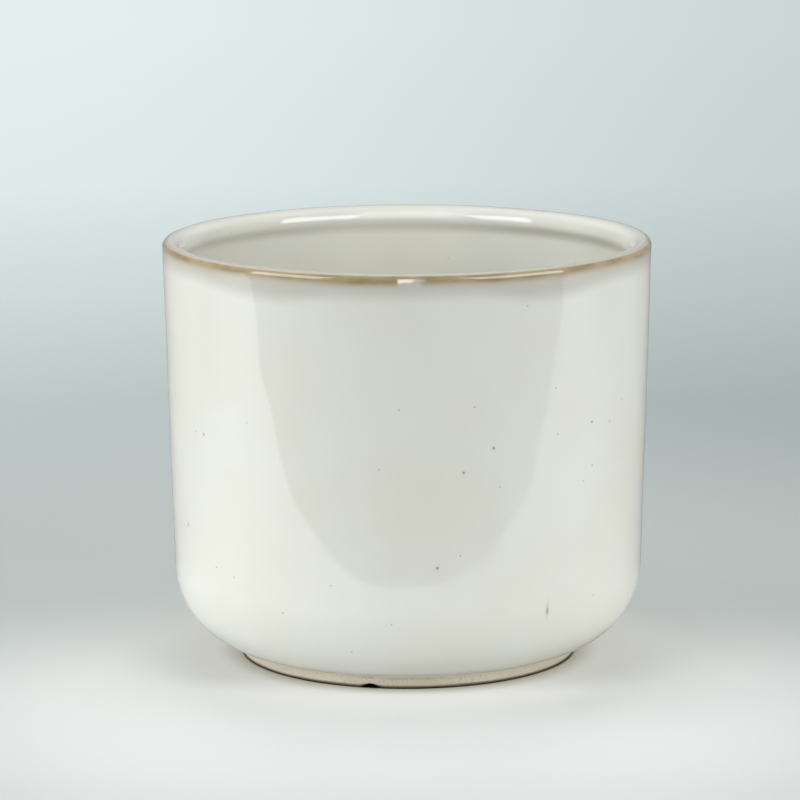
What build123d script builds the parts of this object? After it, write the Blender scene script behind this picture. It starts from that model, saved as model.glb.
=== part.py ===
from build123d import *
from math import acos, cos, degrees, radians, tan
import os

# Glazed stoneware cachepot: one fired clay body that carries four coats of glaze.
# Millimetres. The origin is the middle of the foot ring on the table, +Z is up, -Y is the front.

# Outside of the finished pot, over the glaze
rim_diameter = 151.0
height = 130.0
wall_draft = 1.5
heel_height = 28.0

# Wall, well and the lip, which is rolled inwards to a bead with an undercut below it
wall_thickness = 5.0
floor_thickness = 7.0
well_corner_radius = 18.0
lip_width = 6.8
lip_edge_radius = 1.3
lip_bead_radius = 4.0
lip_undercut_radius = 4.0

# Foot ring, with its recess and the vents that let air under the pot
foot_diameter = 104.0
foot_height = 3.5
foot_width = 6.0
foot_edge_radius = 0.8
foot_neck_radius = 0.8
recess_corner_radius = 1.5
vent_width = 5.6
vent_height = 1.4
vent_count = 3
front_vent_angle = -102.8
vent_overrun = 2.0

# Glaze coats, and the bare clay left on both sides of the foot ring
glaze_thickness = 0.5
rim_band_height = 4.0
bare_margin = 1.6

# Radii and heights that follow from the sizes above
draft_slope = tan(radians(wall_draft))
rim_radius = rim_diameter / 2
crest_radius = rim_radius - lip_edge_radius * tan(radians((90 + wall_draft) / 2))
heel_top_radius = rim_radius - (height - heel_height) * draft_slope
foot_radius = foot_diameter / 2
foot_inner_radius = foot_radius - foot_width
floor_height = foot_height + floor_thickness
well_top_radius = rim_radius - wall_thickness
well_base_radius = well_top_radius - (height - floor_height) * draft_slope
bead_middle_radius = rim_radius - lip_width + lip_bead_radius
bead_middle_height = height - lip_bead_radius
bead_overlap = bead_middle_radius - well_top_radius + lip_bead_radius * draft_slope
bead_to_wall = bead_overlap * cos(radians(wall_draft))
bead_sweep = 90 - wall_draft + degrees(acos(bead_to_wall / lip_bead_radius))
axis_overlap = 2 * glaze_thickness

# Finished half section, over the glaze. The heel is one arc, tangent to the wall, that runs under
# to the foot ring. Both ends of the outline pass the axis, so that the glaze offset stays clear of it.
with BuildSketch(Plane.XZ) as finished_section:
    with BuildLine():
        foot_line = FilletPolyline(
            (-axis_overlap, foot_height),
            (foot_inner_radius, foot_height),
            (foot_inner_radius, 0),
            (foot_radius, 0),
            (foot_radius, foot_height),
            radius=[recess_corner_radius, foot_edge_radius, foot_edge_radius],
        )
        wall_line = FilletPolyline(
            (heel_top_radius, heel_height),
            (rim_radius, height),
            (bead_middle_radius, height),
            radius=[lip_edge_radius],
        )
        bead_line = CenterArc((bead_middle_radius, bead_middle_height), lip_bead_radius, 90, bead_sweep)
        well_line = FilletPolyline(
            bead_line @ 1,
            (well_base_radius, floor_height),
            (-axis_overlap, floor_height),
            radius=[well_corner_radius],
        )
        TangentArc(wall_line @ 0, foot_line @ 1, tangent=(-draft_slope, -1))
        Line(well_line @ 1, foot_line @ 0)
    make_face()
    foot_neck = finished_section.vertices().sort_by_distance((foot_radius, foot_height))[0]
    fillet(foot_neck, foot_neck_radius)
    undercut = finished_section.vertices().sort_by_distance(bead_line @ 1)[0]
    fillet(undercut, lip_undercut_radius)

# Foot section: the part of it that stays bare, at full size
with BuildSketch(Plane.XZ) as foot_section:
    add(finished_section)
    with Locations((foot_inner_radius - bare_margin, 0)):
        Rectangle(
            foot_width + 2 * bare_margin,
            floor_height - glaze_thickness,
            align=Align.MIN,
            mode=Mode.INTERSECT,
        )

# Clay section: the finished one less a glaze thickness, with the bare foot added back
with BuildSketch(Plane.XZ) as clay_section:
    add(finished_section)
    offset(amount=-glaze_thickness)
    add(foot_section)
    Rectangle(rim_radius, height, align=Align.MIN, mode=Mode.INTERSECT)

# Coat sections: what lies between the clay and the finished surface
with BuildSketch(Plane.XZ) as coat_sections:
    add(finished_section)
    Rectangle(rim_radius, height, align=Align.MIN, mode=Mode.INTERSECT)
    add(clay_section, mode=Mode.SUBTRACT)

with BuildSketch(Plane.XZ) as rim_section:
    add(coat_sections)
    with Locations((crest_radius, height)):
        Rectangle(
            rim_radius - crest_radius,
            rim_band_height,
            align=(Align.MIN, Align.MAX),
            mode=Mode.INTERSECT,
        )

with BuildSketch(Plane.XZ) as white_sections:
    add(coat_sections)
    add(rim_section, mode=Mode.SUBTRACT)

base_face, lining_face, outer_face = white_sections.sketch.faces().sort_by(Axis.X)

# Clay body, with flat arched vents cut through the foot ring
vent_radius = (vent_width**2 / 4 + vent_height**2) / (2 * vent_height)

with BuildPart() as stoneware_body:
    add(clay_section.sketch)
    revolve(axis=Axis.Z)
    with Locations((0, 0, vent_height - vent_radius)):
        with PolarLocations(foot_radius - foot_width / 2, vent_count, front_vent_angle):
            Cylinder(
                vent_radius,
                foot_width + 2 * vent_overrun,
                rotation=(0, 90, 0),
                mode=Mode.SUBTRACT,
            )

# White coat on the outside, from the rim band down the wall and under to the bare foot
with BuildPart() as outer_glaze:
    add(outer_face)
    revolve(axis=Axis.Z)

# Ochre coat round the outer edge of the lip
with BuildPart() as rim_glaze:
    add(rim_section.sketch)
    revolve(axis=Axis.Z)

# White lining, from the crest of the lip down the well and across its floor
with BuildPart() as inner_glaze:
    add(lining_face)
    revolve(axis=Axis.Z)

# White coat in the recess under the pot
with BuildPart() as base_glaze:
    add(base_face)
    revolve(axis=Axis.Z)

stoneware_body.part.label = "stoneware_body"
outer_glaze.part.label = "outer_glaze"
rim_glaze.part.label = "rim_glaze"
inner_glaze.part.label = "inner_glaze"
base_glaze.part.label = "base_glaze"

os.makedirs("parts", exist_ok=True)
export_step(stoneware_body.part, "parts/stoneware_body.step")
export_step(outer_glaze.part, "parts/outer_glaze.step")
export_step(rim_glaze.part, "parts/rim_glaze.step")
export_step(inner_glaze.part, "parts/inner_glaze.step")
export_step(base_glaze.part, "parts/base_glaze.step")
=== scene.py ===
from math import acos, atan2, cos, degrees, pi, radians, sin, sqrt, tan

import bpy
from bpy.props import FloatProperty, FloatVectorProperty, IntProperty, PointerProperty
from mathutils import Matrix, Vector


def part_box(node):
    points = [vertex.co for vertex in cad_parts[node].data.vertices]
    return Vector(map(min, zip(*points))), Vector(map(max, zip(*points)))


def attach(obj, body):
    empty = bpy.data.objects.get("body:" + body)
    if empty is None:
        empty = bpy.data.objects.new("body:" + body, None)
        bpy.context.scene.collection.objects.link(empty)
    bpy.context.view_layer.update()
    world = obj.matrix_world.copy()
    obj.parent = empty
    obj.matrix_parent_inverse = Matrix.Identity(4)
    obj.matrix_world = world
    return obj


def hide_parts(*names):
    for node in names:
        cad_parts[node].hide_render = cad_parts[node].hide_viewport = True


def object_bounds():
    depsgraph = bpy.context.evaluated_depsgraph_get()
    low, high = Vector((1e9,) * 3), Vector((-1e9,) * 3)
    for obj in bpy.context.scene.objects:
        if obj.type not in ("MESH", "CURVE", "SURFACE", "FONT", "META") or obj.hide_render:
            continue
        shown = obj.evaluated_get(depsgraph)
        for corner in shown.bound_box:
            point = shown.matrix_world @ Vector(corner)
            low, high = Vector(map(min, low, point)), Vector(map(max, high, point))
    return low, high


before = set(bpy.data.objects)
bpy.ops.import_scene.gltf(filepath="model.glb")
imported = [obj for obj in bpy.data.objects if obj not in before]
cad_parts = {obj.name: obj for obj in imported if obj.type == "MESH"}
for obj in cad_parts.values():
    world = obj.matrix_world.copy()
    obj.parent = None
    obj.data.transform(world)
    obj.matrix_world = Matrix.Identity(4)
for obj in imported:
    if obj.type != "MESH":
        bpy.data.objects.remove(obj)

bl_info = {
    "name": "Glazed cachepot",
    "version": (1, 0, 0),
    "blender": (4, 5, 0),
    "location": "View3D > Sidebar > Cachepot",
    "description": "Turns the clay and glazes of a stoneware cachepot and sets it in a pale studio",
    "category": "Object",
}

# The CAD model's box, and the coats whose places the defaults below come from
cad_low, cad_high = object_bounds()
rim_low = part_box("rim_glaze")[0]
base_low, base_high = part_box("base_glaze")

# How finely the pieces are turned
turn_steps = 288
row_spacing = 0.002
arc_spacing = 0.0012
edge_rows = 14
rod_sides = 72
merge_distance = 0.00001
sharp_angle = radians(38)

# Dark iron specks on the front of the wall: how far round from the front, height, and size
front_specks = (
    (19.9, 0.0776, 0.00042),
    (12.8, 0.0707, 0.00040),
    (47.9, 0.0815, 0.00040),
    (6.7, 0.0421, 0.00044),
    (-56.1, 0.0764, 0.00040),
    (-66.4, 0.0461, 0.00042),
)

# A dark run in the glaze, which is drawn out downwards: its core and its tails
run_core = (34.9, 0.0257, 0.00040)
run_tails = (34.85, 0.0260, 0.00042)
core_squeeze = 0.36
tail_squeeze = 0.20

# Pale specks, deeper in the glaze
faint_specks = (
    (-2.0, 0.0901, 0.00034),
    (15.2, 0.0903, 0.00036),
    (-6.6, 0.0720, 0.00030),
    (21.5, 0.0657, 0.00034),
    (36.0, 0.0939, 0.00034),
    (36.9, 0.0798, 0.00034),
    (60.5, 0.0859, 0.00034),
    (55.0, 0.0804, 0.00034),
    (48.4, 0.0682, 0.00036),
    (45.4, 0.0639, 0.00034),
    (12.1, 0.0456, 0.00034),
    (50.1, 0.0275, 0.00036),
    (-59.8, 0.0766, 0.00034),
    (-40.2, 0.0830, 0.00030),
    (-52.6, 0.0360, 0.00034),
    (-46.0, 0.0344, 0.00032),
    (-18.4, 0.0361, 0.00030),
    (-4.0, 0.0249, 0.00030),
    (-31.1, 0.0262, 0.00034),
    (-14.2, 0.0152, 0.00034),
    (27.9, 0.1195, 0.00032),
)

# Specks inside the well, round from the front
well_specks = (
    (168.8, 0.1130, 0.00034),
    (141.7, 0.1227, 0.00034),
    (-125.2, 0.1258, 0.00034),
)

# Lamps of the studio: name, place, width and height, power, and whether it only shows in the glaze
studio_lamps = (
    ("left_softbox", (-0.857, -0.772, 0.39), (0.80, 0.60), 5.3, False),
    ("right_softbox", (0.857, -0.772, 0.39), (0.80, 0.60), 4.8, False),
    ("left_highlight", (-0.467, -0.315, 0.335), (0.39, 0.39), 2.3, True),
    ("right_highlight", (0.444, -0.347, 0.335), (0.485, 0.39), 3.1, True),
    ("overhead_lamp", (0.0, 0.0, 1.10), (0.80, 0.80), 5.1, False),
    ("back_lamp", (0.0, 0.90, 0.90), (0.80, 0.60), 6.3, False),
    ("left_lamp", (-1.0, 0.10, 0.45), (0.60, 0.60), 3.2, False),
    ("right_lamp", (1.0, 0.10, 0.45), (0.60, 0.60), 1.0, False),
    ("left_low_lamp", (-1.0, 0.10, 0.12), (0.50, 0.20), 2.25, False),
    ("right_low_lamp", (1.0, 0.10, 0.12), (0.50, 0.20), 2.5, False),
)
lamp_aim = Vector((0.0, 0.0, 0.06))


def length_property(name, description, default):
    """A size in metres."""
    return FloatProperty(name=name, description=description, default=default, unit="LENGTH")


def colour_property(name, description, default):
    """A colour without alpha."""
    limits = {"subtype": "COLOR", "min": 0.0, "max": 1.0}
    return FloatVectorProperty(name=name, description=description, default=default, **limits)


class PotSizes(bpy.types.PropertyGroup):
    """The turned outline, over the glaze."""

    rim_radius: length_property(
        "Rim radius",
        "Where the slope of the wall meets the height of the lip",
        0.0755,
    )
    height: length_property("Height", "From the foot to the crest of the lip", cad_high.z)
    draft: FloatProperty(
        name="Draft",
        description="How far the wall leans outwards",
        default=radians(1.5),
        subtype="ANGLE",
    )
    heel_height: length_property("Heel height", "Where the round heel runs into the wall", 0.028)
    wall: length_property("Wall", "Thickness of the wall below the lip, with its glaze", 0.005)
    floor: length_property("Floor", "Thickness of the floor with its glaze", 0.007)
    lip_width: length_property(
        "Lip width",
        "From the outside of the lip to the innermost point of its bead",
        0.0068,
    )
    lip_edge_radius: length_property("Lip edge radius", "Outer round of the lip", 0.0018)
    bead: length_property(
        "Bead",
        "Radius of the bead that the lip is rolled into, inside the well",
        0.004,
    )
    undercut: length_property("Undercut", "Radius of the hollow below the bead", 0.004)
    well_corner: length_property(
        "Well corner",
        "Round between the inner wall and the floor of the well",
        0.018,
    )
    foot_radius: length_property("Foot radius", "Outside of the foot ring", 0.052)
    foot_height: length_property(
        "Foot height",
        "From the ground to the recess under the pot",
        base_low.z,
    )
    foot_width: length_property("Foot width", "Width of the foot ring", 0.006)
    foot_edge: length_property(
        "Foot edge",
        "Round on the lower edges of the foot ring and in its neck",
        0.0008,
    )
    recess_corner: length_property("Recess corner", "Round between the foot ring and the recess", 0.0015)
    vent_width: length_property("Vent width", "Width of an arched vent at the ground", 0.0056)
    vent_height: length_property("Vent height", "Height of an arched vent", 0.0014)
    vent_count: IntProperty(
        name="Vents",
        description="Number of vents round the foot ring",
        default=3,
        min=1,
    )
    front_vent: FloatProperty(
        name="Front vent",
        description="Direction of the front vent",
        default=radians(-102.8),
        subtype="ANGLE",
    )
    glaze: length_property("Glaze", "Thickness of a coat of glaze", base_high.z - base_low.z)
    band: length_property(
        "Edge band",
        "Height of the ochre coat on the outside of the lip",
        cad_high.z - rim_low.z,
    )
    bare_margin: length_property("Bare margin", "Bare clay beside the foot ring", 0.0016)
    base_coat_radius: length_property(
        "Base coat radius",
        "Radius of the glazed disc in the recess",
        base_high.x,
    )
    flow: length_property("Glaze flow", "How far the surface of the glaze rises and falls", 0.00034)
    flow_size: length_property("Flow size", "Size of the soft waves in the glaze", 0.03)


class GlazeColours(bpy.types.PropertyGroup):
    """Colours of the clay and its glazes, and of the light and shade painted on them."""

    white: colour_property("White", "White glaze where it lies thick", (0.78, 0.787, 0.73))
    warm_white: colour_property(
        "Warm white",
        "White glaze where the clay warms it",
        (0.765, 0.755, 0.675),
    )
    thin_white: colour_property(
        "Thin white",
        "White glaze where it lies thin, below the ochre edge",
        (0.58, 0.57, 0.51),
    )
    # Painted light: a light, warm white laid just above the bare foot, where the heel is in shade
    heel_painted_light: colour_property(
        "Heel white",
        "White glaze where it ends, above the bare foot",
        (0.93, 0.89, 0.79),
    )
    # Painted shade: a darker, dull colour laid in the hollow below the bead, at the ends of the well,
    # towards the right and on the far crest
    hollow: colour_property("Hollow", "Dull glaze in the hollow below the lip", (0.45, 0.44, 0.38))
    # Painted light: a lighter white laid in the middle of the well, less to the sides and to the right
    well_light_white: colour_property(
        "Lining white",
        "Clear white glaze in the middle of the well",
        (0.89, 0.90, 0.79),
    )
    # Painted light: a lighter white laid on the top of the far bead, between its two highlights
    bead_light_white: colour_property(
        "Bead white",
        "Clear white glaze on the rolled lip at the back",
        (0.98, 1.0, 0.97),
    )
    crest: colour_property("Crest", "Glaze on the crest of the lip at the front", (0.86, 0.76, 0.58))
    blush: colour_property("Blush", "Pink-brown tint under the ochre edge", (0.60, 0.50, 0.42))
    ochre: colour_property(
        "Ochre",
        "Edge of the lip where the glaze breaks over the clay",
        (0.43, 0.35, 0.21),
    )
    umber: colour_property("Umber", "Darker patches along the ochre edge", (0.315, 0.24, 0.12))
    # Painted highlight: a near-white glint laid along the top of the skip in the ochre
    skip: colour_property("Skip", "White that shows where the ochre skips", (1.0, 0.95, 0.80))
    halo: colour_property("Halo", "Pale brown glaze round the specks", (0.58, 0.54, 0.39))
    speck: colour_property("Speck", "Iron specks in the white glaze", (0.12, 0.10, 0.07))
    clay: colour_property("Clay", "Bare fired stoneware", (0.83, 0.765, 0.625))
    dark_clay: colour_property(
        "Dark clay",
        "Toasted grains and patches of the bare clay",
        (0.52, 0.44, 0.34),
    )
    # Painted shade: darker clay laid on the foot to the left and right of the front
    side_clay_shade: colour_property(
        "Side clay",
        "Bare clay to the left and right of the front",
        (0.55, 0.50, 0.41),
    )
    # Painted shade: a brown-black contact shadow painted along the foot where it stands
    foot_contact_shadow: colour_property(
        "Scorch",
        "Brown line where the foot ring stands",
        (0.19, 0.16, 0.095),
    )
    # Painted shade: near-black laid on the clay round the front vent, deepening the opening
    vent_shade: colour_property("Soot", "Black clay round the front vent", (0.05, 0.045, 0.03))
    gloss: FloatProperty(
        name="Roughness",
        description="Roughness of the glaze outside and on the lip",
        default=0.03,
        min=0.0,
        max=1.0,
    )
    satin: FloatProperty(
        name="Well roughness",
        description="Roughness of the glaze in the well and in the recess",
        default=0.20,
        min=0.0,
        max=1.0,
    )


class StudioLook(bpy.types.PropertyGroup):
    """Camera, floor and light."""

    eye: FloatVectorProperty(
        name="Eye",
        description="Where the camera stands",
        default=(-0.00232, -1.264, 0.3175),
        subtype="TRANSLATION",
        unit="LENGTH",
    )
    pitch: FloatProperty(
        name="Pitch",
        description="How far the camera looks down",
        default=radians(10.686),
        subtype="ANGLE",
    )
    roll: FloatProperty(
        name="Roll",
        description="How far the camera leans sideways",
        default=radians(-0.2),
        subtype="ANGLE",
    )
    lens: FloatProperty(
        name="Lens",
        description="Focal length of the camera in millimetres",
        default=186.1,
    )
    # The near and far floor colours paint a pool of light in front of the pot, darker farther off
    near_colour: colour_property("Near floor", "Colour of the floor round the pot", (0.77, 0.785, 0.775))
    far_colour: colour_property("Far floor", "Colour of the floor farther off", (0.42, 0.45, 0.44))
    light: FloatProperty(
        name="Light",
        description="Brightness of all the lamps together",
        default=1.0,
        min=0.0,
    )
    left_glow: FloatProperty(
        name="Left glow",
        description="Brightness of the left half of the floor in the glaze",
        default=1.35,
        min=0.0,
    )
    right_glow: FloatProperty(
        name="Right glow",
        description="Brightness of the right half of the floor in the glaze",
        default=0.95,
        min=0.0,
    )
    far_share: FloatProperty(
        name="Far share",
        description="Share of that brightness that is left behind the pot",
        default=0.22,
        min=0.0,
        max=1.0,
    )
    sheen_front: length_property(
        "Sheen front",
        "How far in front of the pot's middle the bright floor ends",
        0.194,
    )
    fill: FloatProperty(
        name="Fill",
        description="Strength of the even light from all round",
        default=0.22,
        min=0.0,
    )


class Blend:
    """A socket of a finish. Sums on it add Math nodes."""

    def __init__(self, finish, socket):
        self.finish = finish
        self.socket = socket

    def maths(self, operation, first, second):
        return self.finish.node("ShaderNodeMath", {"operation": operation}, {0: first, 1: second})

    def __add__(self, other):
        return self.maths("ADD", self, other)

    __radd__ = __add__

    def __sub__(self, other):
        return self.maths("SUBTRACT", self, other)

    def __rsub__(self, other):
        return self.maths("SUBTRACT", other, self)

    def __mul__(self, other):
        return self.maths("MULTIPLY", self, other)

    __rmul__ = __mul__

    def __truediv__(self, other):
        return self.maths("DIVIDE", self, other)

    def __rtruediv__(self, other):
        return self.maths("DIVIDE", other, self)

    def __gt__(self, other):
        return self.maths("GREATER_THAN", self, other)

    def __lt__(self, other):
        return self.maths("LESS_THAN", self, other)


class Finish:
    """The nodes of one material, or of the world."""

    def __init__(self, owner):
        owner.use_nodes = True
        self.tree = owner.node_tree
        self.tree.nodes.clear()

    def node(self, kind, settings, sockets, output=0):
        """Adds a node, sets its settings and then its sockets, and returns one of its outputs."""
        made = self.tree.nodes.new(kind)
        for name, value in settings.items():
            if name == "stops":
                ramp = made.color_ramp.elements
                for stop in value[2:]:
                    ramp.new(stop[0])
                for stop, (place, colour) in zip(ramp, value):
                    stop.position = place
                    stop.color = (*colour, 1.0)
            else:
                setattr(made, name, value)
        for name, value in sockets.items():
            if isinstance(value, Blend):
                self.tree.links.new(value.socket, made.inputs[name])
            else:
                made.inputs[name].default_value = value
        return Blend(self, made.outputs[output]) if made.outputs else made

    def place(self):
        """The point on the piece, in the CAD frame."""
        return self.node("ShaderNodeTexCoord", {}, {}, "Object")

    def axis(self, point, name):
        """One part of a point: X, Y or Z."""
        return self.node("ShaderNodeSeparateXYZ", {}, {"Vector": point}, name)

    def noise(self, point, scale, detail=2.0):
        """Soft noise from 0 to 1, with so many waves to the metre."""
        sockets = {"Vector": point, "Scale": scale, "Detail": detail}
        return self.node("ShaderNodeTexNoise", {}, sockets)

    def stretch(self, point, scale):
        """The point with its axes stretched or squeezed."""
        return self.node("ShaderNodeMapping", {}, {"Vector": point, "Scale": scale})

    def fade(self, value, start, end):
        """Eases from 0 at start to 1 at end."""
        settings = {"interpolation_type": "SMOOTHSTEP"}
        sockets = {"Value": value, "From Min": start, "From Max": end}
        return self.node("ShaderNodeMapRange", settings, sockets)

    def wane(self, value, start, end):
        """Eases from 1 at start to 0 at end."""
        return 1 - self.fade(value, start, end)

    def band(self, value, rise, fall):
        """Eases up over one range and down again over another."""
        return self.fade(value, *rise) * self.wane(value, *fall)

    def lower(self, first, second):
        """The lower of two values."""
        return self.node("ShaderNodeMath", {"operation": "MINIMUM"}, {0: first, 1: second})

    def unsigned(self, value):
        """A value without its sign."""
        return self.node("ShaderNodeMath", {"operation": "ABSOLUTE"}, {0: value})

    def distance(self, point, spot):
        """How far a point is from a spot."""
        settings = {"operation": "DISTANCE"}
        return self.node("ShaderNodeVectorMath", settings, {0: point, 1: spot}, "Value")

    def mix(self, share, first, second):
        """The first colour, with a share of the second laid over it."""
        sockets = {0: share, 6: as_colour(first), 7: as_colour(second)}
        return self.node("ShaderNodeMix", {"data_type": "RGBA"}, sockets, 2)

    def lay(self, colour, layers):
        """A colour with tints laid over it in turn, each by its share."""
        for share, tint in layers:
            colour = self.mix(share, colour, tint)
        return colour

    def bump(self, height, strength, distance):
        """A normal that follows a height."""
        sockets = {"Strength": strength, "Distance": distance, "Height": height}
        return self.node("ShaderNodeBump", {}, sockets)

    def glow(self, colour, strength):
        """A shader that shines by itself."""
        return self.node("ShaderNodeEmission", {}, {"Color": colour, "Strength": strength})

    def blend_shaders(self, share, first, second):
        """The first shader, with a share of the second."""
        return self.node("ShaderNodeMixShader", {}, {0: share, 1: first, 2: second})

    def surface(self, sockets):
        """Ends a material of the pot with its surface."""
        surface = self.node("ShaderNodeBsdfPrincipled", {}, sockets)
        self.node("ShaderNodeOutputMaterial", {}, {"Surface": surface})


def as_colour(value):
    """A colour socket as it is, or three numbers with full alpha."""
    if isinstance(value, Blend):
        return value
    return (*value, 1.0)


def wall_radius(sizes, height):
    """Radius of the outer wall at a height."""
    return sizes.rim_radius - (sizes.height - height) * tan(sizes.draft)


def arc(centre, radius, start, end):
    """Points along an arc in the outline, from one angle to another."""
    steps = max(edge_rows, round(abs(end - start) * radius / arc_spacing))
    points = []
    for step in range(steps + 1):
        angle = start + (end - start) * step / steps
        points.append(Vector((centre.x + radius * cos(angle), centre.y + radius * sin(angle))))
    return points


def straight(start, end):
    """Points between two ends of a straight run, both left out."""
    steps = max(1, round((end - start).length / row_spacing))
    return [start.lerp(end, step / steps) for step in range(1, steps)]


def heel_circle(sizes):
    """Centre and radius of the round heel, which runs from the wall to the top of the foot ring."""
    top = Vector((wall_radius(sizes, sizes.heel_height), sizes.heel_height))
    foot = Vector((sizes.foot_radius, sizes.foot_height))
    inward = Vector((-cos(sizes.draft), sin(sizes.draft)))
    chord = foot - top
    radius = chord.length_squared / (2 * chord.dot(inward))
    return top + radius * inward, radius


def heel_angle(sizes, radius):
    """Where on the heel's circle the underside has a given radius."""
    centre, heel_radius = heel_circle(sizes)
    return -acos((radius - centre.x) / heel_radius)


def outer_run(sizes, inset, top):
    """The heel from its glaze line and the wall up to a height."""
    centre, radius = heel_circle(sizes)
    start = heel_angle(sizes, sizes.foot_radius + sizes.bare_margin)
    run = arc(centre, radius - inset, start, -sizes.draft)
    end = Vector((wall_radius(sizes, top) - inset / cos(sizes.draft), top))
    run += straight(run[-1], end)
    run.append(end)
    return run


def lip_edge(sizes, inset):
    """The outer round of the lip, from the wall to the crest."""
    height = sizes.height - sizes.lip_edge_radius
    radius = wall_radius(sizes, height) - sizes.lip_edge_radius / cos(sizes.draft)
    return arc(Vector((radius, height)), sizes.lip_edge_radius - inset, -sizes.draft, pi / 2)


def well_run(sizes, inset):
    """The bead of the lip, the undercut, the inner wall, its corner and the floor, to the middle."""
    inward = Vector((-cos(sizes.draft), sin(sizes.draft)))
    downward = Vector((-sin(sizes.draft), -cos(sizes.draft)))
    bead = Vector((sizes.rim_radius - sizes.lip_width + sizes.bead, sizes.height - sizes.bead))
    to_wall = (bead.x - wall_radius(sizes, bead.y) + sizes.wall) * cos(sizes.draft)
    across = to_wall + sizes.undercut
    along = sqrt((sizes.bead + sizes.undercut) ** 2 - across ** 2)
    undercut = bead + across * inward + along * downward
    turning = atan2(bead.y - undercut.y, bead.x - undercut.x)
    run = arc(bead, sizes.bead - inset, pi / 2, pi + turning)
    run += arc(undercut, sizes.undercut + inset, turning, -sizes.draft)[1:]
    floor_height = sizes.foot_height + sizes.floor
    corner_height = floor_height + sizes.well_corner
    corner_radius = wall_radius(sizes, corner_height) - sizes.wall - sizes.well_corner / cos(sizes.draft)
    corner_centre = Vector((corner_radius, corner_height))
    corner = arc(corner_centre, sizes.well_corner + inset, -sizes.draft, -pi / 2)
    run += straight(run[-1], corner[0])
    run += corner
    middle = Vector((0.0, floor_height - inset))
    run += straight(run[-1], middle)
    run.append(middle)
    return run


def well_radius(sizes, height):
    """Radius of the lined well at a height."""
    run = well_run(sizes, 0.0)
    return min(run, key=lambda point: abs(point.y - height)).x


def foot_run(sizes):
    """The bare clay from the middle of the recess, over the foot ring, to the glaze line."""
    ceiling = sizes.foot_height
    inner = sizes.foot_radius - sizes.foot_width
    edge = sizes.foot_edge
    corner = sizes.recess_corner
    run = [Vector((0.0, ceiling + sizes.glaze))]
    under_coat = Vector((sizes.base_coat_radius, ceiling + sizes.glaze))
    run += straight(run[0], under_coat)
    run += [under_coat, Vector((sizes.base_coat_radius, ceiling))]
    run += arc(Vector((inner - corner, ceiling - corner)), corner, pi / 2, 0.0)
    run += arc(Vector((inner + edge, edge)), edge, pi, 1.5 * pi)
    run += arc(Vector((sizes.foot_radius - edge, edge)), edge, 1.5 * pi, 2 * pi)
    centre, radius = heel_circle(sizes)
    neck_radius = sizes.foot_radius + edge
    drop = sqrt((radius + edge) ** 2 - (neck_radius - centre.x) ** 2)
    neck = Vector((neck_radius, centre.y - drop))
    run += arc(neck, edge, pi, atan2(centre.y - neck.y, centre.x - neck.x))
    run += arc(centre, radius, heel_angle(sizes, run[-1].x), heel_angle(sizes, neck_radius + edge))
    return run


def turn(name, outline, inside=False):
    """Draws an outline point by point and spins it about the upright axis, turned inside out if asked."""
    bpy.ops.object.select_all(action="DESELECT")
    bpy.ops.mesh.primitive_plane_add(size=row_spacing)
    piece = bpy.context.object
    piece.name = name
    piece.data.name = name
    bpy.ops.object.mode_set(mode="EDIT")
    bpy.ops.mesh.merge(type="CENTER")
    bpy.ops.transform.translate(value=(outline[0].x, 0.0, outline[0].y))
    for before, after in zip(outline, outline[1:]):
        step = (after.x - before.x, 0.0, after.y - before.y)
        bpy.ops.mesh.extrude_vertices_move(TRANSFORM_OT_translate={"value": step})
    bpy.ops.mesh.select_all(action="SELECT")
    bpy.ops.mesh.spin(steps=turn_steps, angle=2 * pi, center=(0, 0, 0), axis=(0, 0, 1))
    bpy.ops.mesh.select_all(action="SELECT")
    bpy.ops.mesh.remove_doubles(threshold=merge_distance)
    bpy.ops.mesh.normals_make_consistent(inside=inside)
    bpy.ops.object.mode_set(mode="OBJECT")
    return piece


def apply(piece, kind, settings):
    """Adds a modifier, sets it and applies it."""
    bpy.context.view_layer.objects.active = piece
    bpy.ops.object.modifier_add(type=kind)
    modifier = piece.modifiers[-1]
    for name, value in settings.items():
        setattr(modifier, name, value)
    bpy.ops.object.modifier_apply(modifier=modifier.name)


def flow_texture(name, size):
    """Clouds that make a surface rise and fall."""
    clouds = bpy.data.textures.new(name, "CLOUDS")
    clouds.noise_scale = size
    clouds.noise_depth = 1
    return clouds


def coat(piece, sizes):
    """Lets the glaze flow a little and gives it its thickness, into the clay."""
    waves = {
        "texture": flow_texture(piece.name + "_flow", sizes.flow_size),
        "texture_coords": "LOCAL",
        "direction": "NORMAL",
        "strength": sizes.flow,
        "mid_level": 0.5,
    }
    apply(piece, "DISPLACE", waves)
    apply(piece, "SOLIDIFY", {"thickness": sizes.glaze, "offset": -1.0, "use_even_offset": True})


def finish_piece(piece, material, node):
    """Shades a piece and puts it in the place of its CAD node."""
    bpy.ops.object.shade_smooth_by_angle(angle=sharp_angle)
    piece.data.materials.clear()
    piece.data.materials.append(material)
    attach(piece, "root")
    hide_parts(node)


def speck_field(finish, point, sizes, specks, radius_at, squeeze=1.0):
    """Distance to the nearest of a list of specks, in sizes of that speck, squeezed in height."""
    if squeeze != 1.0:
        point = finish.stretch(point, (1.0, 1.0, squeeze))
    nearest = None
    for angle, height, size in specks:
        radius = radius_at(sizes, height)
        turned = radians(angle)
        spot = (radius * sin(turned), -radius * cos(turned), height * squeeze)
        share = finish.distance(point, spot) * (1 / size)
        nearest = share if nearest is None else finish.lower(nearest, share)
    return nearest


def speck_radius(sizes, height):
    """Radius of the finished pot at a height, on the heel or on the wall."""
    if height >= sizes.heel_height:
        return wall_radius(sizes, height)
    centre, radius = heel_circle(sizes)
    return centre.x + sqrt(radius ** 2 - (height - centre.y) ** 2)


def foot_radius(sizes, height):
    """Radius of the foot ring's outside, the same at every height."""
    return sizes.foot_radius


# Specks strewn over the back: cells to the metre, share of the cells that hold one, and its size.
# An empty cell's speck is put out of reach by so many metres.
strewn_cells = 55.0
strewn_filled = 0.4
strewn_size = 0.00036
strewn_away = 0.01


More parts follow.
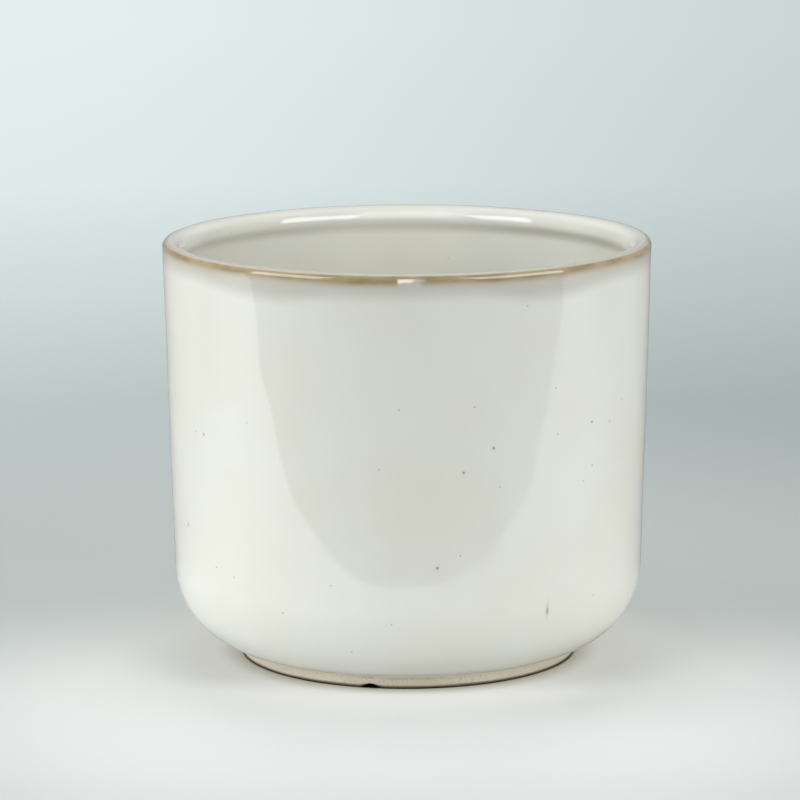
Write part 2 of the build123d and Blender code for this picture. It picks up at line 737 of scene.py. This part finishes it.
def strewn_field(finish, point, sizes):
    """Distance to specks strewn all round the pot, in sizes of a speck."""
    x = finish.axis(point, "X")
    y = finish.axis(point, "Y")
    angle = finish.node("ShaderNodeMath", {"operation": "ARCTAN2"}, {0: x, 1: y})
    flat_sockets = {"X": angle * sizes.rim_radius, "Y": finish.axis(point, "Z")}
    flat = finish.node("ShaderNodeCombineXYZ", {}, flat_sockets)
    settings = {"voronoi_dimensions": "2D", "feature": "F1"}
    sockets = {"Vector": flat, "Scale": strewn_cells}
    away = finish.node("ShaderNodeTexVoronoi", settings, sockets, "Distance")
    cell = finish.node("ShaderNodeTexVoronoi", settings, sockets, "Color")
    empty = finish.axis(cell, "X") > strewn_filled
    return (away / strewn_cells + empty * strewn_away) / strewn_size


# Clouds in the white glaze: waves to the metre, finer detail, and where they turn warm and rough
cloud_scale = 26.0
cloud_detail = 4.0
warm_clouds = (0.35, 0.7)
rough_clouds = (0.3, 0.8)
rough_rise = 0.01

# Fine grain in the gloss of the glaze, and how strongly the glaze refracts
grain_scale = 900.0
grain_strength = 0.06
grain_height = 0.00006
glaze_ior = 1.6


def white_ground(finish, point, colours):
    """Colour and roughness of the white glaze, which change softly over it."""
    clouds = finish.noise(point, cloud_scale, cloud_detail)
    colour = finish.mix(finish.fade(clouds, *warm_clouds), colours.white, colours.warm_white)
    rough = colours.gloss + finish.fade(clouds, *rough_clouds) * rough_rise
    return colour, rough


def glaze_surface(finish, point, colour, rough):
    """Ends a glaze with its gloss and fine grain."""
    grain = finish.noise(point, grain_scale)
    bump = finish.bump(grain, grain_strength, grain_height)
    finish.surface({"Base Color": colour, "Roughness": rough, "IOR": glaze_ior, "Normal": bump})


# Specks in the glaze, in sizes of a speck: their ragged edges, and how they and their halos fade
ragged_scale = 2600.0
ragged_depth = 0.6
speck_fade = (0.1, 1.5)
dark_fade = (0.1, 1.4)
halo_fade = (0.6, 3.6)
run_halo_fade = (0.6, 2.6)

# The front has its own specks, so strewn ones are put out of reach there, in sizes of a speck
front_away = 9.0

# How strongly the specks show
halo_share = 0.22
run_halo_share = 0.30
faint_share = 0.45
strewn_share = 0.5
tails_share = 0.28
core_share = 0.45
dark_share = 0.8
well_speck_share = 0.4


def speck_edge(finish, point):
    """Roughens the edges of the specks."""
    return (finish.noise(point, ragged_scale) - 0.5) * ragged_depth


def outside_specks(finish, point, colour, sizes, colours):
    """Lays iron specks with pale brown halos in the white, and one run drawn out downwards."""
    ragged = speck_edge(finish, point)
    front = finish.axis(point, "Y") < 0.0
    dark = speck_field(finish, point, sizes, front_specks, speck_radius)
    faint = speck_field(finish, point, sizes, faint_specks, speck_radius) + ragged
    strewn = strewn_field(finish, point, sizes) + ragged + front * front_away
    core = speck_field(finish, point, sizes, (run_core,), speck_radius, core_squeeze)
    tails = speck_field(finish, point, sizes, (run_tails,), speck_radius, tail_squeeze) + ragged
    return finish.lay(colour, (
        (finish.wane(dark, *halo_fade) * halo_share, colours.halo),
        (finish.wane(tails, *run_halo_fade) * run_halo_share, colours.halo),
        (finish.wane(faint, *speck_fade) * faint_share, colours.speck),
        (finish.wane(strewn, *speck_fade) * strewn_share, colours.speck),
        (finish.wane(tails, *speck_fade) * tails_share, colours.speck),
        (finish.wane(core, *speck_fade) * core_share, colours.speck),
        (finish.wane(dark + ragged, *dark_fade) * dark_share, colours.speck),
    ))


# The skip in the ochre at the front, in metres from the middle and below the crest of the lip
skip_left = (-0.0032, -0.0022)
skip_right = (0.0030, 0.0060)
skip_top = (0.0009, 0.0014)
skip_blush = (0.0008, 0.003)
# Where the painted glint, a highlight along the top of the skip, ends
glint_end = (0.0018, 0.0025)
glint_right = (0.0005, 0.0032)
glint_slope = 0.1

# How far the edges of the skip are torn, in metres, and with how many waves to the metre
tear_scale = 420.0
tear_detail = 3.0
left_tear = 0.0012
right_tear = 0.005
top_tear = 0.0005
glint_tear = 0.0006
skip_share = 0.92
skip_blush_share = 0.6


def front_skip(finish, point, depth):
    """Where the ochre skips, where blush shows in the skip, and where a painted glint, a highlight, shows
    along its top.
    """
    x = finish.axis(point, "X")
    front = finish.axis(point, "Y") < 0.0
    tear = finish.noise(point, tear_scale, tear_detail) - 0.5
    torn = x + tear * right_tear
    skip = finish.fade(x + tear * left_tear, *skip_left) * finish.wane(torn, *skip_right)
    skip = skip * finish.fade(depth + tear * top_tear, *skip_top) * front
    # A painted glint, a highlight, along the top of the skip
    glint = finish.wane(depth + x * glint_slope + tear * glint_tear, *glint_end)
    blushed = skip * finish.fade(x, *skip_blush) * glint * skip_blush_share
    bright = skip * glint * finish.wane(torn, *glint_right)
    return skip, blushed, bright


# The ochre edge, in metres below the crest of the lip
ochre_start = (0.0001, 0.0005)
ochre_end = (0.0018, 0.0042)
ochre_blush = (0.0012, 0.0036)
fringe_end = (0.0030, 0.0054)
thin_end = (0.0032, 0.0092)
ochre_blush_share = 0.45
fringe_share = 0.45

# Streaks in the ochre: how they are squeezed, waves to the metre, detail, and where they darken
streak_squeeze = (1.0, 1.0, 4.0)
streak_scale = 90.0
streak_detail = 3.0
umber_streaks = (0.38, 0.70)

# How the ochre edge wanders up and down on its way round the lip
wander_squeeze = (1.0, 1.0, 0.0)
wander_scale = 30.0
wander_detail = 1.0
wander_height = 0.0018

# To the sides, in metres from the middle, the edge is higher and the thin white reaches deeper
lifted_sides = (0.03, 0.06)
side_lift = 0.0005
fringe_sides = (0.02, 0.05)
deep_start = (0.020, 0.040)
deep_end = (0.045, 0.064)
deep_reach = 0.0024


def ochre_lip(finish, point, colour, sizes, colours):
    """Breaks the white to ochre round the lip, lowest at the front, above thin and dull white."""
    beside = finish.unsigned(finish.axis(point, "X"))
    depth = sizes.height - finish.axis(point, "Z")
    streaks = finish.noise(finish.stretch(point, streak_squeeze), streak_scale, streak_detail)
    wander = finish.noise(finish.stretch(point, wander_squeeze), wander_scale, wander_detail)
    drop = depth + (wander - 0.5) * wander_height + finish.fade(beside, *lifted_sides) * side_lift
    deep = finish.band(beside, deep_start, deep_end) * deep_reach
    fringe = finish.fade(beside, *fringe_sides) * finish.wane(drop, *fringe_end)
    cover = finish.fade(depth, *ochre_start) * finish.wane(drop, *ochre_end)
    shade = finish.mix(finish.fade(streaks, *umber_streaks), colours.ochre, colours.umber)
    shade = finish.mix(finish.fade(drop, *ochre_blush) * ochre_blush_share, shade, colours.blush)
    skip, blushed, bright = front_skip(finish, point, depth)
    return finish.lay(colour, (
        (finish.wane(drop - deep, *thin_end), colours.thin_white),
        (fringe * fringe_share, colours.blush),
        (cover * (1 - skip * skip_share), shade),
        (blushed, colours.blush),
        (bright, colours.skip),
    ))


# Painted light on the glaze just above the bare foot, where the heel is in shade, with a warmer white
# where the glaze thins, in metres above the top of the foot ring
heel_light_start = 0.0005
heel_light_end = 0.0075
heel_light_share = 0.85


def outside_glaze(name, sizes, colours):
    """White glaze with iron specks, which breaks to ochre at the lip, and is warmer with painted light
    just above the foot.
    """
    material = bpy.data.materials.new(name)
    finish = Finish(material)
    point = finish.place()
    colour, rough = white_ground(finish, point, colours)
    colour = outside_specks(finish, point, colour, sizes, colours)
    colour = ochre_lip(finish, point, colour, sizes, colours)
    height = finish.axis(point, "Z")
    # Painted light just above the foot, where the heel is in shade
    heel = finish.wane(height, sizes.foot_height + heel_light_start, sizes.foot_height + heel_light_end)
    colour = finish.mix(heel * heel_light_share, colour, colours.heel_painted_light)
    glaze_surface(finish, point, colour, rough)
    return material


# The well, in metres below the crest of the lip
hollow_shade_start = (0.0038, 0.0060)
hollow_shade_end = (0.0066, 0.0096)
satin_start = (0.005, 0.009)
ends_shade_start = (0.0010, 0.0030)
crest_end = (0.0004, 0.0014)
bead_light_start = (0.0010, 0.0023)
bead_light_end = (0.0031, 0.0044)
far_crest_shade_end = (0.0001, 0.0009)

# The well, in metres from the middle: to the right, to either side, to the front and to the back
shade_right = (-0.05, 0.06)
well_light_right = (0.005, 0.035)
well_light_sides = (0.010, 0.050)
hollow_shade_sides = (0.015, 0.050)
ends_shade_sides = (0.052, 0.064)
bead_light_sides = (0.010, 0.024)
crest_front = (-0.05, -0.02)
far_side = (0.0, 0.06)

# How strongly the painted light and shade in the well show, and how much painted light is lost to the
# sides and to the right
well_light_share = 0.50
well_light_side_loss = 0.40
well_light_right_loss = 0.7
hollow_shade_side_share = 0.25
hollow_shade_right_share = 0.30
hollow_shade_share = 0.03
ends_shade_share = 0.20
right_shade_share = 0.10
crest_share = 0.5
bead_light_share = 0.75
far_crest_shade_share = 0.3


def well_shades(finish, point, colour, depth, colours):
    """Paints light in the middle of the well and on the far bead, paints shade in the hollow, at the
    ends, towards the right and on the far crest, and warms the near crest.
    """
    x = finish.axis(point, "X")
    y = finish.axis(point, "Y")
    beside = finish.unsigned(x)
    right = finish.fade(x, *shade_right)
    far = finish.fade(y, *far_side)
    # Painted light in the middle of the well, less to the sides and to the right
    lining = well_light_share - finish.fade(beside, *well_light_sides) * well_light_side_loss
    lining = finish.fade(depth, *satin_start) * lining
    lining = lining * (1 - finish.fade(x, *well_light_right) * well_light_right_loss)
    # Painted shade in the hollow below the bead, stronger to the sides and to the right
    hollow_shade = finish.fade(beside, *hollow_shade_sides) * hollow_shade_side_share + right * hollow_shade_right_share
    hollow_shade = finish.band(depth, hollow_shade_start, hollow_shade_end) * (hollow_shade + hollow_shade_share)
    # Painted shade at the left and right ends of the well, and painted shade growing towards the right of
    # the well
    ends = finish.fade(beside, *ends_shade_sides) * finish.fade(depth, *ends_shade_start)
    crest = finish.wane(depth, *crest_end) * finish.wane(y, *crest_front)
    # Painted light on the top of the far bead, between its two highlights
    bead = finish.band(depth, bead_light_start, bead_light_end) * finish.wane(beside, *bead_light_sides) * far
    return finish.lay(colour, (
        (lining, colours.well_light_white),
        (hollow_shade + ends * ends_shade_share + right * right_shade_share, colours.hollow),
        (crest * crest_share, colours.crest),
        (bead * bead_light_share, colours.bead_light_white),
        # Painted shade on the very crest of the far lip
        (finish.wane(depth, *far_crest_shade_end) * far * far_crest_shade_share, colours.hollow),
    ))


def inside_glaze(name, sizes, colours):
    """White glaze of the well and the recess, glossy on the lip and satin below it."""
    material = bpy.data.materials.new(name)
    finish = Finish(material)
    point = finish.place()
    depth = sizes.height - finish.axis(point, "Z")
    colour, rough = white_ground(finish, point, colours)
    faint = speck_field(finish, point, sizes, well_specks, well_radius) + speck_edge(finish, point)
    colour = finish.mix(finish.wane(faint, *speck_fade) * well_speck_share, colour, colours.speck)
    colour = well_shades(finish, point, colour, depth, colours)
    rough = rough + finish.fade(depth, *satin_start) * (colours.satin - colours.gloss)
    glaze_surface(finish, point, colour, rough)
    return material


# Patches, grains and pits in the bare clay: waves or cells to the metre, detail, and where they show
patch_scale = 70.0
patch_detail = 4.0
patch_fade = (0.4, 0.75)
patch_share = 0.25
clay_grain_scale = 1500.0
clay_grain_detail = 3.0
clay_grain_fade = (0.52, 0.72)
clay_grain_share = 0.6
pit_scale = 620.0
pit_fade = (0.05, 0.4)

# How deep the grains and pits are, and how rough the clay is
clay_grain_depth = 0.6
pit_depth = 0.4
clay_strength = 0.5
clay_height = 0.00012
clay_rough = 0.78
patch_rough = 0.15

# Where the foot darkens, in metres: painted shade to the sides of the middle, darker low down, and a
# painted contact shadow at the ground, with a ragged edge
side_shade_fade = (0.018, 0.050)
side_shade_share = 0.75
low_clay_fade = (0.0008, 0.0028)
low_clay_share = 0.3
foot_contact_fade = (0.0005, 0.0012)
low_ragged = 0.0004

# The painted shade round the front vent, which darkens the clay beside the opening: its reach in metres,
# how flat it is, and how it fades, in reaches
vent_shade_size = 0.0041
vent_shade_squeeze = 3.0
vent_shade_fade = (0.75, 1.05)


def bare_clay(name, sizes, colours):
    """Dry buff stoneware, grainy, with toasted patches, darker low down, painted shade to the sides and
    round the front vent, and a painted contact shadow where it stands.
    """
    material = bpy.data.materials.new(name)
    finish = Finish(material)
    point = finish.place()
    patches = finish.noise(point, patch_scale, patch_detail)
    grains = finish.noise(point, clay_grain_scale, clay_grain_detail)
    pits = finish.node("ShaderNodeTexVoronoi", {}, {"Vector": point, "Scale": pit_scale}, "Distance")
    beside = finish.unsigned(finish.axis(point, "X"))
    low = finish.axis(point, "Z") + (patches - 0.5) * low_ragged
    # A speck's angle counts from the front, and a vent's direction from the right
    vent = (degrees(sizes.front_vent) + 90.0, 0.0, vent_shade_size)
    vent_shade = speck_field(finish, point, sizes, (vent,), foot_radius, vent_shade_squeeze)
    colour = finish.lay(colours.clay, (
        (finish.fade(patches, *patch_fade) * patch_share, colours.dark_clay),
        (finish.fade(grains, *clay_grain_fade) * clay_grain_share, colours.dark_clay),
        (finish.fade(beside, *side_shade_fade) * side_shade_share, colours.side_clay_shade),
        (finish.wane(low, *low_clay_fade) * low_clay_share, colours.dark_clay),
        (finish.wane(low, *foot_contact_fade), colours.foot_contact_shadow),
        (finish.wane(vent_shade, *vent_shade_fade), colours.vent_shade),
    ))
    height = grains * clay_grain_depth + finish.fade(pits, *pit_fade) * pit_depth
    bump = finish.bump(height, clay_strength, clay_height)
    rough = clay_rough + patches * patch_rough
    finish.surface({"Base Color": colour, "Roughness": rough, "Normal": bump})
    return material


class CACHEPOT_OT_clay_body(bpy.types.Operator):
    """Turn the clay body on its foot ring and cut the vents."""

    bl_idname = "cachepot.clay_body"
    bl_label = "Turn clay body"

    def execute(self, context):
        sizes = context.scene.pot_sizes
        colours = context.scene.glaze_colours
        outline = foot_run(sizes)
        outline += outer_run(sizes, sizes.glaze, sizes.height - sizes.band)
        outline += lip_edge(sizes, sizes.glaze)
        outline += well_run(sizes, sizes.glaze)
        piece = turn("clay_body", outline)
        cutter = self.vent_cutter(sizes)
        apply(piece, "BOOLEAN", {"operation": "DIFFERENCE", "object": cutter, "solver": "EXACT"})
        bpy.data.objects.remove(cutter)
        piece.select_set(True)
        finish_piece(piece, bare_clay("bare_stoneware", sizes, colours), "stoneware_body")
        return {"FINISHED"}

    def vent_cutter(self, sizes):
        """One rod across the foot ring for each vent."""
        half = sizes.vent_width / 2
        rise = sizes.vent_height
        radius = (half ** 2 + rise ** 2) / (2 * rise)
        middle = sizes.foot_radius - sizes.foot_width / 2
        bpy.ops.object.select_all(action="DESELECT")
        bpy.ops.mesh.primitive_cylinder_add(
            vertices=rod_sides,
            radius=radius,
            depth=2 * sizes.foot_width,
            location=(middle * cos(sizes.front_vent), middle * sin(sizes.front_vent), rise - radius),
            rotation=(0.0, pi / 2, sizes.front_vent),
        )
        cutter = bpy.context.object
        bpy.ops.object.mode_set(mode="EDIT")
        bpy.ops.mesh.select_all(action="SELECT")
        for vent in range(sizes.vent_count - 1):
            bpy.ops.mesh.duplicate()
            bpy.ops.transform.rotate(
                value=2 * pi / sizes.vent_count,
                orient_axis="Z",
                center_override=(0.0, 0.0, 0.0),
            )
        bpy.ops.object.mode_set(mode="OBJECT")
        return cutter


class CACHEPOT_OT_white_coat(bpy.types.Operator):
    """Turn the white coat on the outside, from the glaze line to the ochre edge."""

    bl_idname = "cachepot.white_coat"
    bl_label = "Glaze outside"

    def execute(self, context):
        sizes = context.scene.pot_sizes
        piece = turn("white_coat", outer_run(sizes, 0.0, sizes.height - sizes.band))
        coat(piece, sizes)
        material = outside_glaze("white_glaze", sizes, context.scene.glaze_colours)
        finish_piece(piece, material, "outer_glaze")
        return {"FINISHED"}


class CACHEPOT_OT_ochre_edge(bpy.types.Operator):
    """Turn the ochre edge of the lip."""

    bl_idname = "cachepot.ochre_edge"
    bl_label = "Glaze edge"

    def execute(self, context):
        sizes = context.scene.pot_sizes
        low = sizes.height - sizes.band
        start = Vector((wall_radius(sizes, low), low))
        edge = lip_edge(sizes, 0.0)
        outline = [start] + straight(start, edge[0]) + edge
        piece = turn("ochre_edge", outline)
        coat(piece, sizes)
        material = outside_glaze("ochre_glaze", sizes, context.scene.glaze_colours)
        finish_piece(piece, material, "rim_glaze")
        return {"FINISHED"}


class CACHEPOT_OT_well_lining(bpy.types.Operator):
    """Turn the white lining of the well, from the crest of the lip to the floor."""

    bl_idname = "cachepot.well_lining"
    bl_label = "Glaze well"

    def execute(self, context):
        sizes = context.scene.pot_sizes
        crest = lip_edge(sizes, 0.0)[-1]
        piece = turn("well_lining", [crest] + well_run(sizes, 0.0))
        coat(piece, sizes)
        material = inside_glaze("lining_glaze", sizes, context.scene.glaze_colours)
        finish_piece(piece, material, "inner_glaze")
        return {"FINISHED"}


class CACHEPOT_OT_base_coat(bpy.types.Operator):
    """Turn the white disc of glaze in the recess under the floor."""

    bl_idname = "cachepot.base_coat"
    bl_label = "Glaze base"

    def execute(self, context):
        sizes = context.scene.pot_sizes
        rim = Vector((sizes.base_coat_radius, sizes.foot_height))
        middle = Vector((0.0, sizes.foot_height))
        outline = [middle] + straight(middle, rim) + [rim]
        piece = turn("base_coat", outline, inside=True)
        coat(piece, sizes)
        material = inside_glaze("base_glaze", sizes, context.scene.glaze_colours)
        finish_piece(piece, material, "base_glaze")
        return {"FINISHED"}


# The studio floor lies just under the pot, with a painted pool of light in front of it
floor_size = 16.0
floor_gap = 0.00005
pot_middle = (0.0, 0.0, 0.0)
light_pool_middle = (0.0, -0.10, 0.0)
light_pool_fade = (0.04, 0.22)

# Painted shade on the floor: dark under the foot, and a painted shadow round it, in metres from the
# middle of the pot
shade_under_pot = (0.03, 0.03, 0.02)
shade_under_fade = (0.0514, 0.0530)
contact_shadow = (0.33, 0.29, 0.19)
contact_fade = (0.049, 0.061)
front_shadow = (0.84, 0.845, 0.795)
back_shadow = (0.60, 0.605, 0.56)
back_shadow_fade = (-0.064, -0.034)
shadow_start = (0.0520, 0.0532)
shadow_end = (0.062, 0.095)
shadow_share = 0.85

# The backdrop: where the floor runs into it, its colours from near to far, and the painted shade on its
# right side, which fans out from a point in front of the pot
backdrop_fade = (0.25, 0.55)
backdrop_start = 0.3
backdrop_end = 2.1
backdrop_stops = (
    (0.0, (0.50, 0.565, 0.56)),
    (0.12, (0.50, 0.57, 0.565)),
    (0.28, (0.62, 0.70, 0.705)),
    (0.5, (0.74, 0.825, 0.83)),
    (1.0, (0.775, 0.87, 0.87)),
)
far_backdrop = (0.77, 0.87, 0.87)
backdrop_shade_tint = (0.75, 0.76, 0.76)
backdrop_shade_fan = (-0.10, 0.14)
backdrop_shade_origin = -1.264

# The bright floor in the glaze, in metres from the middle of the pot and from its own front edge
sheen_sides = (-0.14, 0.14)
sheen_back = (-0.12, 0.14)
sheen_edge = (-0.004, 0.004)
sheen_fade = (0.09, 0.16)
beyond_glow = 0.04
cool_light = (0.93, 0.98, 1.0)


class CACHEPOT_OT_studio(bpy.types.Operator):
    """Set the floor, the lights and the camera."""

    bl_idname = "cachepot.studio"
    bl_label = "Set studio"

    def execute(self, context):
        look = context.scene.studio_look
        self.floor(look)
        self.world(context.scene, look)
        for name, place, size, power, mirrored in studio_lamps:
            self.lamp(name, Vector(place), size, power * look.light, mirrored)
        bpy.ops.object.camera_add(location=look.eye, rotation=(pi / 2 - look.pitch, 0.0, 0.0))
        camera = bpy.context.object
        camera.rotation_euler.rotate_axis("Z", look.roll)
        camera.data.lens = look.lens
        context.scene.camera = camera
        context.scene.view_settings.view_transform = "Standard"
        return {"FINISHED"}

    def lamp(self, name, place, size, power, mirrored):
        """A soft rectangle of light that the camera doesn't see."""
        aim = (lamp_aim - place).to_track_quat("-Z", "Y").to_euler()
        bpy.ops.object.light_add(type="AREA", location=place, rotation=aim)
        lamp = bpy.context.object
        lamp.name = name
        lamp.data.shape = "RECTANGLE"
        lamp.data.size = size[0]
        lamp.data.size_y = size[1]
        lamp.data.energy = power
        lamp.visible_camera = False
        lamp.visible_glossy = mirrored
        lamp.visible_diffuse = not mirrored

    def floor(self, look):
        """A pale floor that brightens into the backdrop and shines in the glaze."""
        bpy.ops.object.select_all(action="DESELECT")
        bpy.ops.mesh.primitive_plane_add(size=floor_size, location=(0.0, 0.0, -floor_gap))
        floor = bpy.context.object
        floor.name = "studio_floor"
        material = bpy.data.materials.new("pale_floor")
        floor.data.materials.append(material)
        finish = Finish(material)
        point = finish.place()
        reach = finish.distance(point, pot_middle)
        away = finish.distance(point, light_pool_middle)
        camera_ray = finish.node("ShaderNodeLightPath", {}, {}, "Is Camera Ray")
        glossy_ray = finish.node("ShaderNodeLightPath", {}, {}, "Is Glossy Ray")
        near = self.near_floor(finish, look, reach, away)
        shadow = self.shadow(finish, point, reach)
        backdrop = self.backdrop(finish, point, away)
        sheen = self.sheen(finish, point, look)
        close = finish.band(reach, shadow_start, shadow_end) * camera_ray * shadow_share
        shown = finish.blend_shaders(close, near, shadow)
        shown = finish.blend_shaders(finish.fade(away, *backdrop_fade) * camera_ray, shown, backdrop)
        mirrored = finish.fade(reach, *sheen_fade) * glossy_ray
        shown = finish.blend_shaders(mirrored, shown, sheen)
        finish.node("ShaderNodeOutputMaterial", {}, {"Surface": shown})

    def near_floor(self, finish, look, reach, away):
        """The pale floor, with a painted pool of light in front of the pot, darker farther off, and
        painted shade under the pot.
        """
        colour = finish.mix(finish.fade(away, *light_pool_fade), look.near_colour, look.far_colour)
        colour = finish.mix(finish.fade(reach, *shade_under_fade), shade_under_pot, colour)
        return finish.node("ShaderNodeBsdfDiffuse", {}, {"Color": colour})

    def shadow(self, finish, point, reach):
        """The shadow round the foot, light in front and darker beside and behind the pot."""
        back = finish.fade(finish.axis(point, "Y"), *back_shadow_fade)
        colour = finish.mix(back, front_shadow, back_shadow)
        colour = finish.mix(finish.fade(reach, *contact_fade), contact_shadow, colour)
        return finish.glow(colour, 1.0)

    def backdrop(self, finish, point, away):
        """The far floor, which runs into the backdrop and has painted shade to the right."""
        range_sockets = {"Value": away, "From Min": backdrop_start, "From Max": backdrop_end}
        distance = finish.node("ShaderNodeMapRange", {}, range_sockets)
        pale = finish.node("ShaderNodeValToRGB", {"stops": backdrop_stops}, {"Fac": distance})
        fan = finish.axis(point, "X") / (finish.axis(point, "Y") - backdrop_shade_origin)
        sockets = {0: finish.fade(fan, *backdrop_shade_fan), 6: pale, 7: as_colour(backdrop_shade_tint)}
        settings = {"data_type": "RGBA", "blend_type": "MULTIPLY"}
        return finish.glow(finish.node("ShaderNodeMix", settings, sockets, 2), 1.0)

    def sheen(self, finish, point, look):
        """The floor in the glaze, brightest at its front edge, and dark beyond that."""
        y = finish.axis(point, "Y")
        side = finish.fade(finish.axis(point, "X"), *sheen_sides)
        glow = look.left_glow + side * (look.right_glow - look.left_glow)
        glow = glow * (1 - finish.fade(y, *sheen_back) * (1 - look.far_share))
        glow = glow * finish.fade(y + look.sheen_front, *sheen_edge) + beyond_glow
        return finish.glow(as_colour(cool_light), glow)

    def world(self, scene, look):
        """Even fill light, and a pale backdrop for the camera."""
        world = bpy.data.worlds.new("studio_world")
        scene.world = world
        finish = Finish(world)
        camera_ray = finish.node("ShaderNodeLightPath", {}, {}, "Is Camera Ray")
        fill_sockets = {"Color": as_colour(cool_light), "Strength": look.fill}
        fill = finish.node("ShaderNodeBackground", {}, fill_sockets)
        pale_sockets = {"Color": as_colour(far_backdrop), "Strength": 1.0}
        pale = finish.node("ShaderNodeBackground", {}, pale_sockets)
        shown = finish.blend_shaders(camera_ray, fill, pale)
        finish.node("ShaderNodeOutputWorld", {}, {"Surface": shown})


class CACHEPOT_PT_panel(bpy.types.Panel):
    """Lists the pieces of the cachepot and their sizes."""

    bl_idname = "CACHEPOT_PT_panel"
    bl_label = "Cachepot"
    bl_space_type = "VIEW_3D"
    bl_region_type = "UI"
    bl_category = "Cachepot"

    def draw(self, context):
        layout = self.layout
        for operator in operators:
            layout.operator(operator.bl_idname)
        for group in (context.scene.pot_sizes, context.scene.glaze_colours, context.scene.studio_look):
            box = layout.box()
            for name in group.bl_rna.properties.keys():
                if name not in ("rna_type", "name"):
                    box.prop(group, name)


operators = (
    CACHEPOT_OT_clay_body,
    CACHEPOT_OT_white_coat,
    CACHEPOT_OT_ochre_edge,
    CACHEPOT_OT_well_lining,
    CACHEPOT_OT_base_coat,
    CACHEPOT_OT_studio,
)
classes = (PotSizes, GlazeColours, StudioLook, *operators, CACHEPOT_PT_panel)


def register():
    for item in classes:
        bpy.utils.register_class(item)
    bpy.types.Scene.pot_sizes = PointerProperty(type=PotSizes)
    bpy.types.Scene.glaze_colours = PointerProperty(type=GlazeColours)
    bpy.types.Scene.studio_look = PointerProperty(type=StudioLook)


def unregister():
    del bpy.types.Scene.studio_look
    del bpy.types.Scene.glaze_colours
    del bpy.types.Scene.pot_sizes
    for item in reversed(classes):
        bpy.utils.unregister_class(item)


def main():
    register()
    bpy.ops.cachepot.clay_body()
    bpy.ops.cachepot.white_coat()
    bpy.ops.cachepot.ochre_edge()
    bpy.ops.cachepot.well_lining()
    bpy.ops.cachepot.base_coat()
    bpy.ops.cachepot.studio()


if __name__ == "__main__":
    main()
